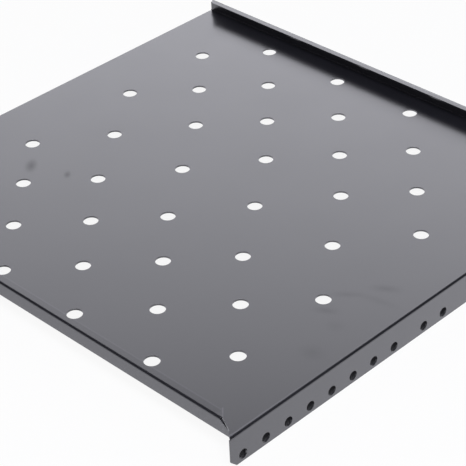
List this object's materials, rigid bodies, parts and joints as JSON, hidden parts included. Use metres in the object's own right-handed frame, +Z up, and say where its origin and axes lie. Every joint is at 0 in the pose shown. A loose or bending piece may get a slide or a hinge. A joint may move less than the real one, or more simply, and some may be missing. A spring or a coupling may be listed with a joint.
{
  "type": "cantilever rack shelf",
  "caption": "Folded sheet-steel rack shelf with a flat vented deck, down-turned side flanges with bolt holes, a short front flange and a low returned back stop.",
  "frame": {"origin": "middle of the shelf on the plane that the lower edges of the side flanges stand on", "axes": "+X across the shelf towards the right side flange, +Y from the front flange towards the back stop, +Z up"},
  "size_m": [0.401, 0.3836, 0.0343],
  "materials": {
    "black_powder_coat": "semi-gloss black powder coat on sheet steel"
  },
  "bodies": {
    "root": {"shelf_tray": "black_powder_coat"}
  },
  "joints": []
}
